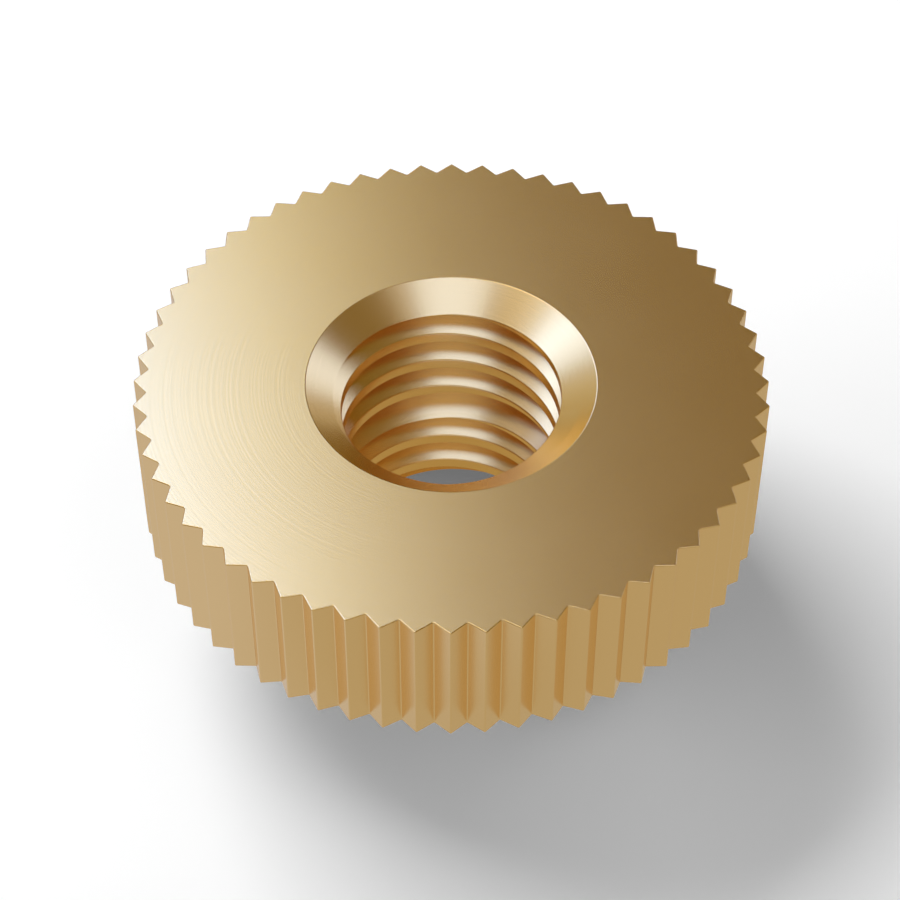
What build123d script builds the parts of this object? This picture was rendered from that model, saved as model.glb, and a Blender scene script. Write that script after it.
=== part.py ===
from build123d import *
import os
from math import cos, radians, sin, sqrt, tan

# A turned brass thumb nut: a straight-knurled head above a plain collar, on one threaded bore.
# It stands on the collar's end face. Z is the thread's axis, and z = 0 is the face it stands on.
# All sizes are in millimetres.

# Knurled head
knurl_diameter = 24.0
knurl_depth = 0.5
tooth_count = 60
head_height = 6.0
knurl_edge_break = 0.06

# Collar under the head
collar_height = 5.0
collar_rim_width = 1.5
collar_edge_break = 0.3
collar_root_radius = 0.4

# Thread, with the ISO metric profile: the bore is cut at the diameter of the thread's crests
thread_diameter = 10.0
thread_pitch = 1.5

# Cones at both ends of the bore and at its waist, as diameters over that of the thread
countersink_allowance = 1.0
relief_allowance = 1.0
cone_angle = 120.0

# Sizes that follow from these
total_height = collar_height + head_height
tip_radius = knurl_diameter / 2
root_radius = tip_radius - knurl_depth
profile_height = thread_pitch * sqrt(3) / 2
bore_radius = thread_diameter / 2 - profile_height * 5 / 8
countersink_radius = (thread_diameter + countersink_allowance) / 2
relief_radius = (thread_diameter + relief_allowance) / 2
collar_radius = countersink_radius + collar_rim_width


def knurl_outline():
    """Corners of the knurl, tip and root by turns, with one tip on the +Y axis."""
    half_tooth = 180 / tooth_count
    corners = []
    for step in range(2 * tooth_count):
        radius = tip_radius if step % 2 == 0 else root_radius
        angle = radians(90 + step * half_tooth)
        corners.append((radius * cos(angle), radius * sin(angle)))
    return corners


def cone_depth(mouth_radius):
    """Depth of a cone that narrows from its mouth to the bore."""
    return (mouth_radius - bore_radius) / tan(radians(cone_angle / 2))


def bore_section():
    """Half-section of the bore: a cone at each end, and two mouth to mouth under the head."""
    end_depth = cone_depth(countersink_radius)
    relief_depth = cone_depth(relief_radius)
    return [
        (0, 0),
        (countersink_radius, 0),
        (bore_radius, end_depth),
        (bore_radius, collar_height - relief_depth),
        (relief_radius, collar_height),
        (bore_radius, collar_height + relief_depth),
        (bore_radius, total_height - end_depth),
        (countersink_radius, total_height),
        (0, total_height),
    ]


with BuildPart() as thumb_nut:
    # Head: V teeth along its whole height, with both rims of the knurl broken
    with BuildSketch(Plane.XY.offset(collar_height)):
        with BuildLine():
            Polyline(*knurl_outline(), close=True)
        make_face()
    extrude(amount=head_height)
    knurl_rims = thumb_nut.faces().filter_by(Axis.Z).edges()
    chamfer(knurl_rims, length=knurl_edge_break)

    # Collar, with its corner under the head left round by the tool
    with BuildSketch():
        Circle(collar_radius)
    extrude(amount=collar_height)
    collar_root = (
        thumb_nut.edges()
        .filter_by(GeomType.CIRCLE)
        .filter_by_position(Axis.Z, collar_height, collar_height)
    )
    fillet(collar_root, radius=collar_root_radius)
    collar_end = thumb_nut.faces().sort_by(Axis.Z).first.edges()
    chamfer(collar_end, length=collar_edge_break)

    # Bore, right through
    with BuildSketch(Plane.XZ):
        with BuildLine():
            Polyline(*bore_section(), close=True)
        make_face()
    revolve(axis=Axis.Z, mode=Mode.SUBTRACT)

thumb_nut.part.label = "thumb_nut"

os.makedirs("parts", exist_ok=True)
export_step(thumb_nut.part, "parts/thumb_nut.step")
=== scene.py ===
from math import atan2, cos, hypot, pi, radians, sin, sqrt, tan

import bmesh
import bpy
import numpy as np
from mathutils import Matrix, Vector


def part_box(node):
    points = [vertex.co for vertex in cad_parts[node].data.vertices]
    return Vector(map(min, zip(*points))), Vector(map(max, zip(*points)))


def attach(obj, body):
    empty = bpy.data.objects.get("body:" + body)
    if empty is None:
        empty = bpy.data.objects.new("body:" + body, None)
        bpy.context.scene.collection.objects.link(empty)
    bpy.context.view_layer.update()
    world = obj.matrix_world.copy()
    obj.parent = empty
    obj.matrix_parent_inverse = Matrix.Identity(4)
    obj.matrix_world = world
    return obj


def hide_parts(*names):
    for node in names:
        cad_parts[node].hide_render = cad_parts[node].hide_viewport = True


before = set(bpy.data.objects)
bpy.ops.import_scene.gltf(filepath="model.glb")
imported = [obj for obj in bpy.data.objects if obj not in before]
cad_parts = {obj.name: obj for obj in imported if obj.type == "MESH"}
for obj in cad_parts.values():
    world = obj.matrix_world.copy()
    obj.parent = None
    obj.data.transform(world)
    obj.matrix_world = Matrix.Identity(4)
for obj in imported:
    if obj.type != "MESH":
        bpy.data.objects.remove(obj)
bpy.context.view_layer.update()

# A turned brass thumb nut on a pale floor: a straight-knurled head above a plain collar, and
# one M10 thread through both. Z is the thread's axis and the nut stands at z = 0.
# Lengths are in millimetres, and MM turns them to Blender's metres. The nut's meshes are made
# in millimetres too, and brought to metres when they are finished.
MM = 0.001

# Sizes of the whole nut, from the frame. One tooth's tip is on the +Y axis.
nut_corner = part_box("thumb_nut")[1]
total_height = nut_corner.z / MM
tip_radius = nut_corner.y / MM

# Knurled head
knurl_depth = 0.5
tooth_count = 60
head_height = 6.0
tooth_tip_radius = 0.06
tooth_root_radius = 0.05
knurl_rim_radius = 0.05

# Collar under the head
collar_rim_width = 1.5
collar_edge_break = 0.3
collar_root_radius = 0.4
collar_corner_radius = 0.08

# Thread: right-hand, with the groove's middle at thread_start on the +Y side
thread_diameter = 10.0
thread_pitch = 1.5
thread_crest_width = 0.475
thread_start = 0.6825
thread_edge_radius = 0.07
flank_angle = 30.0

# Cones at both ends of the bore and at its waist
countersink_radius = thread_diameter / 2 + 0.5
relief_radius = thread_diameter / 2 + 0.5
cone_angle = 120.0
mouth_edge_radius = 0.09
bore_edge_radius = 0.05

# Sizes that follow from these
collar_height = total_height - head_height
collar_radius = countersink_radius + collar_rim_width
thread_root_radius = thread_diameter / 2
bore_radius = thread_root_radius - thread_pitch * sqrt(3) / 2 * 5 / 8

# Marks on the brass: rings left by the tool, and patches of wear. A finishing cut leaves rings
# about 0.05 mm apart, too fine to show, so they are drawn wider apart.
ring_spacing = 0.12
ring_depth = 0.0006
wear_size = 3.0

# Roughness of the polished brass, and what the rings and the wear add to it
polished_roughness = 0.235
ring_roughness = 0.03
wear_roughness = 0.02

# Fineness of the meshes
spans_per_tooth = 8
arc_steps = 2
collar_arc_steps = 4
rim_arc_steps = 3
slice_count = tooth_count * spans_per_tooth


# Outlines


def rounded(corners, steps=arc_steps):
    """The broken line through corners (x, y, radius), with an arc of its radius at each corner."""
    points = [corners[0][:2]]
    for before, corner, after in zip(corners, corners[1:], corners[2:]):
        centre = Vector(corner[:2])
        radius = corner[2]
        if radius == 0:
            points.append(corner[:2])
            continue
        back = (Vector(before[:2]) - centre).normalized()
        ahead = (Vector(after[:2]) - centre).normalized()
        half_opening = back.angle(ahead) / 2
        middle = centre + (back + ahead).normalized() * (radius / sin(half_opening))
        first = centre + back * (radius / tan(half_opening)) - middle
        turn = first.angle_signed(centre + ahead * (radius / tan(half_opening)) - middle)
        for step in range(steps + 1):
            angle = -turn * step / steps
            swung = Vector((
                first.x * cos(angle) - first.y * sin(angle),
                first.x * sin(angle) + first.y * cos(angle),
            ))
            points.append(tuple(middle + swung))
    points.append(corners[-1][:2])
    return points


def tooth_outline():
    """One tooth from root to root about +X, as points with their outward normals."""
    half_tooth = pi / tooth_count
    tip = Vector((tip_radius, 0))
    outward = Vector((cos(half_tooth), sin(half_tooth)))
    root = outward * (tip_radius - knurl_depth)
    flank = (root - tip).normalized()
    normal = Vector((flank.y, -flank.x))
    lean = atan2(normal.y, normal.x)
    tip_centre = tip - Vector((tooth_tip_radius / normal.x, 0))
    root_centre = root + outward * (tooth_root_radius / outward.dot(normal))
    half = []
    for share in (0, 0.5, 1):
        away = Vector((cos(lean * share), sin(lean * share)))
        half.append((tip_centre + away * tooth_tip_radius, away))
    for away in (normal, outward):
        half.append((root_centre - away * tooth_root_radius, away))
    mirrored = [(Vector((p.x, -p.y)), Vector((n.x, -n.y))) for p, n in half[1:]]
    return mirrored[::-1] + half


def cone_depth(mouth_radius):
    """Depth of a cone that narrows from its mouth to the bore."""
    return (mouth_radius - bore_radius) / tan(radians(cone_angle / 2))


def bore_outline():
    """Height and radius of the bore without its thread, from the lower mouth to the upper.

    It is rounded with a stretch of each end face, which is then left off.
    """
    end_depth = cone_depth(countersink_radius)
    relief_depth = cone_depth(relief_radius)
    on_end_face = countersink_radius + 1
    corners = [
        (0, on_end_face, 0),
        (0, countersink_radius, mouth_edge_radius),
        (end_depth, bore_radius, bore_edge_radius),
        (collar_height - relief_depth, bore_radius, bore_edge_radius),
        (collar_height, relief_radius, 0),
        (collar_height + relief_depth, bore_radius, bore_edge_radius),
        (total_height - end_depth, bore_radius, bore_edge_radius),
        (total_height, countersink_radius, mouth_edge_radius),
        (total_height, on_end_face, 0),
    ]
    return rounded(corners)[1:-1]


def thread_outline(angle):
    """Height and radius of the thread's groove along the whole bore, at an angle from +X."""
    flank_width = (thread_root_radius - bore_radius) * tan(radians(flank_angle))
    mouth_half = (thread_pitch - thread_crest_width) / 2
    root_half = mouth_half - flank_width
    quarter_turn = 0.25
    share_of_turn = (angle / (2 * pi) - quarter_turn) % 1
    turns_below = 2
    lowest = thread_start + thread_pitch * (share_of_turn - turns_below)
    corners = [(lowest - thread_pitch, bore_radius, 0)]
    turns = int(total_height / thread_pitch) + 2 * turns_below
    for turn in range(turns):
        middle = lowest + turn * thread_pitch
        corners += [
            (middle - mouth_half, bore_radius, thread_edge_radius),
            (middle - root_half, thread_root_radius, 0),
            (middle + root_half, thread_root_radius, 0),
            (middle + mouth_half, bore_radius, thread_edge_radius),
        ]
    corners.append((corners[-1][0] + thread_pitch, bore_radius, 0))
    return rounded(corners)


def wider_of(first, second):
    """The wider of two sections at each height, with a point wherever they cross."""
    tables = [np.array(section).T for section in (first, second)]
    heights = np.unique(np.concatenate([tables[0][0], tables[1][0]]))
    heights = heights[(heights >= first[0][0]) & (heights <= first[-1][0])]
    gaps = np.interp(heights, *tables[0]) - np.interp(heights, *tables[1])
    crossed = np.nonzero(gaps[:-1] * gaps[1:] < 0)[0]
    shares = gaps[crossed] / (gaps[crossed] - gaps[crossed + 1])
    crossings = heights[crossed] + shares * (heights[crossed + 1] - heights[crossed])
    heights = np.unique(np.concatenate([heights, crossings]))
    radii = np.maximum(np.interp(heights, *tables[0]), np.interp(heights, *tables[1]))
    return without_spare_points(list(zip(heights, radii)))


def without_spare_points(points, slack=1e-5):
    """The same broken line without the points that lie on a straight stretch."""
    kept = [points[0]]
    for point, after in zip(points[1:], points[2:]):
        before = kept[-1]
        length = hypot(after[0] - before[0], after[1] - before[1])
        twice_area = (point[0] - before[0]) * (after[1] - before[1])
        twice_area -= (point[1] - before[1]) * (after[0] - before[0])
        if abs(twice_area) > slack * length:
            kept.append(point)
    kept.append(points[-1])
    return kept


# Meshes


def stitch(mesh, left, right):
    """Fills the strip between two rows of vertices, always across the shorter diagonal."""
    i = j = 0
    while i < len(left) - 1 or j < len(right) - 1:
        up_left = left[min(i + 1, len(left) - 1)]
        up_right = right[min(j + 1, len(right) - 1)]
        across_left = (up_left.co - right[j].co).length
        across_right = (up_right.co - left[i].co).length
        if j == len(right) - 1 or (i < len(left) - 1 and across_left <= across_right):
            mesh.faces.new((left[i], right[j], up_left))
            i += 1
        else:
            mesh.faces.new((left[i], right[j], up_right))
            j += 1


def bore_wall():
    """The threaded wall of the bore, with a section at each slice stitched to the next."""
    plain = bore_outline()
    mesh = bmesh.new()
    rows = []
    for step in range(slice_count):
        angle = 2 * pi * step / slice_count
        section = wider_of(plain, thread_outline(angle))
        places = [(r * cos(angle), r * sin(angle), z) for z, r in section]
        rows.append([mesh.verts.new(place) for place in places])
    for left, right in zip(rows, rows[1:] + rows[:1]):
        stitch(mesh, left, right)
    return finished_mesh(mesh, "bore_wall")


def tooth_sector():
    """The outside of the nut over one tooth: top face, tooth, underside, collar and end face."""
    outline = tooth_outline()
    mouth_radius = bore_outline()[-1][1]

    def ring(radius, height):
        """A plain arc, as wide as the tooth's angle."""
        half_tooth = pi / tooth_count
        angles = np.linspace(-half_tooth, half_tooth, spans_per_tooth + 1)
        return [(radius * cos(a), radius * sin(a), height) for a in angles]

    def tooth(inset, height):
        """The tooth's outline, moved inwards by inset."""
        return [(*(point - normal * inset), height) for point, normal in outline]

    rim_angles = [radians(90) * step / rim_arc_steps for step in range(rim_arc_steps + 1)]
    rim = [(knurl_rim_radius * (1 - sin(a)), knurl_rim_radius * (1 - cos(a))) for a in rim_angles]
    # The first corner only gives the underside's direction, so no row is made of it
    collar_corners = [
        (tip_radius - knurl_depth, collar_height, 0),
        (collar_radius, collar_height, collar_root_radius),
        (collar_radius, collar_edge_break, collar_corner_radius),
        (collar_radius - collar_edge_break, 0, collar_corner_radius),
        (mouth_radius, 0, 0),
    ]
    collar = rounded(collar_corners, collar_arc_steps)

    places = [ring(mouth_radius, total_height)]
    places += [tooth(inset, total_height - drop) for inset, drop in rim]
    places += [tooth(inset, collar_height + rise) for inset, rise in rim[::-1]]
    places += [ring(radius, height) for radius, height in collar[1:]]
    mesh = bmesh.new()
    rows = [[mesh.verts.new(place) for place in row] for row in places]
    for upper, lower in zip(rows, rows[1:]):
        for step in range(spans_per_tooth):
            mesh.faces.new((upper[step], lower[step], lower[step + 1], upper[step + 1]))
    return finished_mesh(mesh, "tooth_sector")


def finished_mesh(mesh, name):
    """Writes a bmesh to a new mesh and frees it."""
    data = bpy.data.meshes.new(name)
    mesh.to_mesh(data)
    mesh.free()
    return data


# Node trees


def add_node(tree, kind, inputs=None, **settings):
    """Adds a node. Each input takes a value, or the output of another node."""
    node = tree.nodes.new(kind)
    for name, value in settings.items():
        setattr(node, name, value)
    for socket, value in (inputs or {}).items():
        if isinstance(value, bpy.types.NodeSocket):
            tree.links.new(value, node.inputs[socket])
        else:
            node.inputs[socket].default_value = value
    return node


def empty_tree(owner):
    """The node tree of a material or a world, with nothing in it yet."""
    owner.use_nodes = True
    owner.node_tree.nodes.clear()
    return owner.node_tree


def knurl_tree():
    """Geometry nodes that set one tooth round the axis and join the teeth to the bore wall."""
    tree = bpy.data.node_groups.new("knurl_round_bore", "GeometryNodeTree")
    for name, kind in (
        ("Bore wall", "NodeSocketGeometry"),
        ("Tooth", "NodeSocketObject"),
        ("Teeth", "NodeSocketInt"),
        ("Metal", "NodeSocketMaterial"),
    ):
        tree.interface.new_socket(name, in_out="INPUT", socket_type=kind)
    tree.interface.new_socket("Nut", in_out="OUTPUT", socket_type="NodeSocketGeometry")
    given = add_node(tree, "NodeGroupInput").outputs
    tooth = add_node(tree, "GeometryNodeObjectInfo", {"Object": given["Tooth"], "As Instance": True})
    places = add_node(tree, "GeometryNodePoints", {"Count": given["Teeth"]})
    index = add_node(tree, "GeometryNodeInputIndex")
    share = add_node(
        tree, "ShaderNodeMath", {0: index.outputs["Index"], 1: given["Teeth"]}, operation="DIVIDE"
    )
    angle = add_node(tree, "ShaderNodeMath", {0: share.outputs[0], 1: 2 * pi}, operation="MULTIPLY")
    turn = add_node(
        tree, "FunctionNodeAxisAngleToRotation", {"Axis": (0, 0, 1), "Angle": angle.outputs[0]}
    )
    teeth = add_node(
        tree,
        "GeometryNodeInstanceOnPoints",
        {
            "Points": places.outputs[0],
            "Instance": tooth.outputs["Geometry"],
            "Rotation": turn.outputs[0],
        },
    )
    joined = add_node(tree, "GeometryNodeJoinGeometry", {0: teeth.outputs[0]})
    tree.links.new(given["Bore wall"], joined.inputs[0])
    real = add_node(tree, "GeometryNodeRealizeInstances", {0: joined.outputs[0]})
    dressed = add_node(
        tree, "GeometryNodeSetMaterial", {"Geometry": real.outputs[0], "Material": given["Metal"]}
    )
    add_node(tree, "NodeGroupOutput", {"Nut": dressed.outputs[0]})
    return tree


def linear(code):
    """A colour written as sRGB hex, in Blender's linear light."""
    channels = [int(code[i:i + 2], 16) / 255 for i in (1, 3, 5)]
    light = [c / 12.92 if c <= 0.04045 else ((c + 0.055) / 1.055) ** 2.4 for c in channels]
    return (*light, 1)


def turned_brass():
    """Brass as a lathe leaves it: gold, softly glossy, with faint rings left by the tool.

    The rings run round the axis on every turned face. The knurl is rolled, so it has none.
    """
    material = bpy.data.materials.new("fine_turned_brass")
    tree = empty_tree(material)
    place = add_node(tree, "ShaderNodeTexCoord").outputs["Object"]
    height = add_node(tree, "ShaderNodeSeparateXYZ", {0: place}).outputs["Z"]
    level = add_node(tree, "ShaderNodeVectorMath", {0: place, 1: (1, 1, 0)}, operation="MULTIPLY")
    length = add_node(tree, "ShaderNodeVectorMath", {0: level.outputs[0]}, operation="LENGTH")
    away = length.outputs["Value"]

    along_cut = add_node(tree, "ShaderNodeMath", {0: away, 1: height}, operation="ADD")
    rings = add_node(
        tree,
        "ShaderNodeTexNoise",
        {"W": along_cut.outputs[0], "Scale": 1 / (ring_spacing * MM), "Detail": 1.0},
        noise_dimensions="1D",
    )
    inside_knurl = add_node(
        tree,
        "ShaderNodeMath",
        {0: away, 1: (tip_radius - knurl_depth) * MM},
        operation="LESS_THAN",
    )
    on_top = add_node(
        tree,
        "ShaderNodeMath",
        {0: height, 1: (total_height - knurl_rim_radius / 2) * MM},
        operation="GREATER_THAN",
    )
    turned = add_node(
        tree, "ShaderNodeMath", {0: inside_knurl.outputs[0], 1: on_top.outputs[0]}, operation="MAXIMUM"
    )
    relief = add_node(
        tree, "ShaderNodeMath", {0: rings.outputs[0], 1: turned.outputs[0]}, operation="MULTIPLY"
    )
    bump = add_node(
        tree,
        "ShaderNodeBump",
        {"Height": relief.outputs[0], "Strength": 1.0, "Distance": ring_depth * MM},
    )

    worn = add_node(tree, "ShaderNodeTexNoise", {"Vector": place, "Scale": 1 / (wear_size * MM)})
    ringed_gloss = add_node(
        tree,
        "ShaderNodeMath",
        {0: rings.outputs[0], 1: ring_roughness, 2: polished_roughness},
        operation="MULTIPLY_ADD",
    )
    gloss = add_node(
        tree,
        "ShaderNodeMath",
        {0: worn.outputs[0], 1: wear_roughness, 2: ringed_gloss.outputs[0]},
        operation="MULTIPLY_ADD",
    )
    shader = add_node(
        tree,
        "ShaderNodeBsdfPrincipled",
        {
            "Base Color": linear("#F5D79B"),
            "Metallic": 1.0,
            "Roughness": gloss.outputs[0],
            "Normal": bump.outputs[0],
        },
    )
    add_node(tree, "ShaderNodeOutputMaterial", {"Surface": shader.outputs[0]})
    return material


# The nut


def add_piece(name, data):
    """A new object in the scene, at the origin."""
    piece = bpy.data.objects.new(name, data)
    bpy.context.scene.collection.objects.link(piece)
    return piece


def evaluated_mesh(piece):
    """The mesh of a piece with its modifiers applied, and the modifiers gone."""
    graph = bpy.context.evaluated_depsgraph_get()
    data = bpy.data.meshes.new_from_object(piece.evaluated_get(graph))
    piece.modifiers.clear()
    piece.data = data
    return data


def make_nut(metal):
    """One closed mesh: the threaded bore wall, and the teeth round it by geometry nodes."""
    tooth = add_piece("tooth_sector", tooth_sector())
    nut = add_piece("threaded_thumb_nut", bore_wall())
    for piece in (tooth, nut):
        piece.data.materials.append(metal)
    knurl = nut.modifiers.new("knurl", "NODES")
    knurl.node_group = knurl_tree()
    values = {"Tooth": tooth, "Teeth": tooth_count, "Metal": metal}
    for socket in knurl.node_group.interface.items_tree:
        if socket.name in values:
            knurl[socket.identifier] = values[socket.name]
    data = evaluated_mesh(nut)
    bpy.data.objects.remove(tooth)

    weld_distance = 0.0005
    sharp_angle = 40
    mesh = bmesh.new()
    mesh.from_mesh(data)
    bmesh.ops.remove_doubles(mesh, verts=mesh.verts, dist=weld_distance)
    bmesh.ops.recalc_face_normals(mesh, faces=mesh.faces)
    mesh.to_mesh(data)
    mesh.free()
    data.shade_smooth()
    data.set_sharp_from_angle(angle=radians(sharp_angle))
    weighted = nut.modifiers.new("flat_faces_lead", "WEIGHTED_NORMAL")
    weighted.keep_sharp = True
    weighted.weight = 100
    evaluated_mesh(nut).transform(Matrix.Scale(MM, 4))
    return nut


nut = make_nut(turned_brass())
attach(nut, "root")
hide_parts("thumb_nut")


# The floor, the lamps and the camera


def aim(thing, place, target):
    """Sets a lamp or a camera at a place and turns it to a target, both in millimetres."""
    thing.location = Vector(place) * MM
    thing.rotation_euler = (Vector(place) - Vector(target)).to_track_quat("Z", "Y").to_euler()


def white_board():
    """Matt white board, which keeps the nut's shadow and glows a little, so that it comes out white.

    The metal mirrors it as a board dimmer than white, with painted light and shade on it: paler on
    the left, where the floor is lit, cream on the right, and a painted tan shade inside the bore.
    """
    glow_strength = 0.165
    mirrored_strength = 0.63
    # Spans in metres over which the mirrored board's painted shade round the bore and its painted
    # light from left to right fade
    painted_bore_shade_span = (4.5 * MM, 7.0 * MM)
    painted_light_span = (-12.0 * MM, 0.0)

    material = bpy.data.materials.new("matt_white_board")
    material.cycles.emission_sampling = "NONE"
    tree = empty_tree(material)
    path = add_node(tree, "ShaderNodeLightPath").outputs
    board = add_node(tree, "ShaderNodeBsdfDiffuse", {"Color": linear("#F4F4F4")})
    glow = add_node(
        tree, "ShaderNodeEmission", {"Color": linear("#FFFFFF"), "Strength": glow_strength}
    )
    lit = add_node(tree, "ShaderNodeAddShader", {0: board.outputs[0], 1: glow.outputs[0]})
    to_camera = add_node(
        tree,
        "ShaderNodeMixShader",
        {0: path["Is Camera Ray"], 1: board.outputs[0], 2: lit.outputs[0]},
    )

    place = add_node(tree, "ShaderNodeTexCoord").outputs["Object"]
    across = add_node(tree, "ShaderNodeSeparateXYZ", {0: place}).outputs["X"]
    away = add_node(tree, "ShaderNodeVectorMath", {0: place}, operation="LENGTH").outputs["Value"]
    painted_light_share, out_of_painted_shade = [
        add_node(
            tree,
            "ShaderNodeMapRange",
            {"Value": value, "From Min": start, "From Max": end},
            interpolation_type="SMOOTHSTEP",
        )
        for value, (start, end) in ((across, painted_light_span), (away, painted_bore_shade_span))
    ]
    # Painted light: the mirrored board is paler and cooler on the lit left, and cream on the right
    painted_light_by_side = add_node(
        tree,
        "ShaderNodeMix",
        {"Factor": painted_light_share.outputs[0], "A": linear("#FCF7FF"), "B": linear("#E9DCC8")},
        data_type="RGBA",
    )
    # Painted shade: tan where the board lies under the nut's bore
    painted_light_and_shade = add_node(
        tree,
        "ShaderNodeMix",
        {"Factor": out_of_painted_shade.outputs[0], "A": linear("#DCC089"), "B": painted_light_by_side.outputs[2]},
        data_type="RGBA",
    )
    # What the metal mirrors: the board, dimmer than white, with its painted light and shade
    board_with_painted_light = add_node(
        tree, "ShaderNodeEmission", {"Color": painted_light_and_shade.outputs[2], "Strength": mirrored_strength}
    )
    mirrored = add_node(
        tree,
        "ShaderNodeMath",
        {0: path["Is Glossy Ray"], 1: path["Is Transmission Ray"]},
        operation="MAXIMUM",
    )
    surface = add_node(
        tree,
        "ShaderNodeMixShader",
        {0: mirrored.outputs[0], 1: to_camera.outputs[0], 2: board_with_painted_light.outputs[0]},
    )
    add_node(tree, "ShaderNodeOutputMaterial", {"Surface": surface.outputs[0]})
    return material


def make_floor():
    """One wide flat sheet at z = 0."""
    half = 2000 * MM
    data = bpy.data.meshes.new("floor")
    corners = [(-half, -half, 0), (half, -half, 0), (half, half, 0), (-half, half, 0)]
    data.from_pydata(corners, [], [(0, 1, 2, 3)])
    data.materials.append(white_board())
    floor = add_piece("floor", data)


def lamp_card(name, place, target, width, height, radiance, tint, mirrored):
    """A flat lamp of even brightness that shines from place towards target, all in millimetres.

    Its power follows from its radiance and its area, so its size can change alone. It either
    shows in the metal or lights the floor, so that each can be set by itself.
    """
    data = bpy.data.lights.new(name, "AREA")
    data.shape = "RECTANGLE"
    data.size = width * MM
    data.size_y = height * MM
    data.color = linear(tint)[:3]
    data.energy = radiance * pi * data.size * data.size_y
    lamp = bpy.data.objects.new(name, data)
    lamp.visible_camera = False
    lamp.visible_glossy = mirrored
    lamp.visible_diffuse = not mirrored
    bpy.context.scene.collection.objects.link(lamp)
    aim(lamp, place, target)
    return lamp


def softbox(name, azimuth, elevation, width, height, radiance, tint, mirrored):
    """A far lamp in a direction from the nut, which fills an angle of width by height there."""
    distance = 1000
    turn = radians(azimuth)
    rise = radians(elevation)
    place = Vector((cos(rise) * cos(turn), cos(rise) * sin(turn), sin(rise))) * distance
    sides = [2 * distance * tan(radians(angle / 2)) for angle in (width, height)]
    lamp_card(name, place, (0, 0, total_height / 2), *sides, radiance, tint, mirrored)


def bore_card():
    """A small card of light in the bore, for the thread's grooves.

    They stay pale, where many reflections in brass alone would leave them dark.
    """
    middle = total_height / 2
    card = lamp_card(
        "bore_card",
        place=(0, -2.9, middle),
        target=(0, bore_radius, middle),
        width=6,
        height=9,
        radiance=0.28,
        tint="#A6C6F2",
        mirrored=True,
    )
    card.data.spread = radians(100)


def make_lamps():
    """A broad key from behind on the left, and weaker boxes overhead, on the right and low down.

    A row is a lamp's name, its azimuth from +X towards +Y, its elevation, the width and height
    that it fills, all four in degrees, its radiance and its tint. The tints are cool where the
    brass shines palest and warm where it falls into shade, and the floor's lamps are white.
    """
    white = "#FFFFFF"
    cool = "#AAC3FF"
    warm = "#FFFA78"
    cream = "#FFF4C8"
    in_metal = (
        ("key", 137, 47, 45, 26, 2.48, cool),
        ("key_edge", 107, 50, 9, 26, 3.4, "#3C82FF"),
        ("key_strip", 99, 50, 6, 26, 1.08, warm),
        ("key_far", 168, 40, 16, 22, 1.3, "#8FB0FF"),
        ("left_high", -177, 56, 18, 14, 0.6, "#B4C8FF"),
        ("key_low", 128, 24, 50, 18, 0.35, "#FFFDDC"),
        ("back_low", 110, 6, 24, 12, 0.54, "#FFD57D"),
        ("key_top", 140, 69, 36, 16, 1.4, cream),
        ("overhead", -90, 73, 30, 16, 2.24, cool),
        ("zenith", -90, 86, 44, 12, 1.03, "#E4EBFF"),
        ("front_high", -80, 54, 50, 14, 0.8, cream),
        ("front_low", -90, 14, 90, 24, 0.32, cream),
        ("right_low", 0, 14, 70, 24, 0.32, cream),
        ("side", 42, 32, 20, 20, 2.1, "#B2C8FF"),
        ("side_low", 54, 16, 20, 14, 0.38, white),
        ("right_high", 5, 54, 36, 20, 0.04, white),
        ("left", -170, 20, 40, 30, 0.6, white),
    )
    on_floor = (
        ("floor_key", 133, 43, 40, 28, 9.0, white),
        ("floor_left", -175, 19, 50, 12, 5.0, white),
        ("floor_left_low", -175, 7, 40, 9, 19.0, white),
        ("floor_right_low", 75, 7, 40, 9, 21.5, white),
        ("floor_fill", -30, 52, 44, 40, 0.6, white),
    )
    for row in in_metal:
        softbox(*row, mirrored=True)
    bore_card()
    for row in on_floor:
        softbox(*row, mirrored=False)


def make_world():
    """A dim warm room, which the darkest parts of the metal mirror. The camera sees it white."""
    world = bpy.data.worlds.new("studio")
    bpy.context.scene.world = world
    world.cycles_visibility.diffuse = False
    tree = empty_tree(world)
    path = add_node(tree, "ShaderNodeLightPath").outputs
    room = add_node(tree, "ShaderNodeBackground", {"Color": linear("#765D08")})
    white = add_node(tree, "ShaderNodeBackground", {"Color": linear("#FFFFFF")})
    mix = add_node(
        tree,
        "ShaderNodeMixShader",
        {0: path["Is Camera Ray"], 1: room.outputs[0], 2: white.outputs[0]},
    )
    add_node(tree, "ShaderNodeOutputWorld", {"Surface": mix.outputs[0]})


def make_camera():
    """The photograph's viewing angle."""
    data = bpy.data.cameras.new("camera")
    data.lens = 107.86
    data.sensor_width = 36
    data.clip_start = 10 * MM
    camera = bpy.data.objects.new("camera", data)
    bpy.context.scene.collection.objects.link(camera)
    azimuth = radians(0.095)
    elevation = radians(48.81)
    distance = 99.4
    target = Vector((-0.04, -3.47, total_height))
    back = Vector((cos(elevation) * sin(azimuth), -cos(elevation) * cos(azimuth), sin(elevation)))
    aim(camera, target + back * distance, target)
    bpy.context.scene.camera = camera


make_floor()
make_lamps()
make_world()
make_camera()

# Enough reflections for the thread's grooves, and none off the brass onto the floor, whose
# shadow stays a plain grey
cycles = bpy.context.scene.cycles
cycles.glossy_bounces = 12
cycles.caustics_reflective = False
bpy.context.scene.view_settings.view_transform = "Standard"
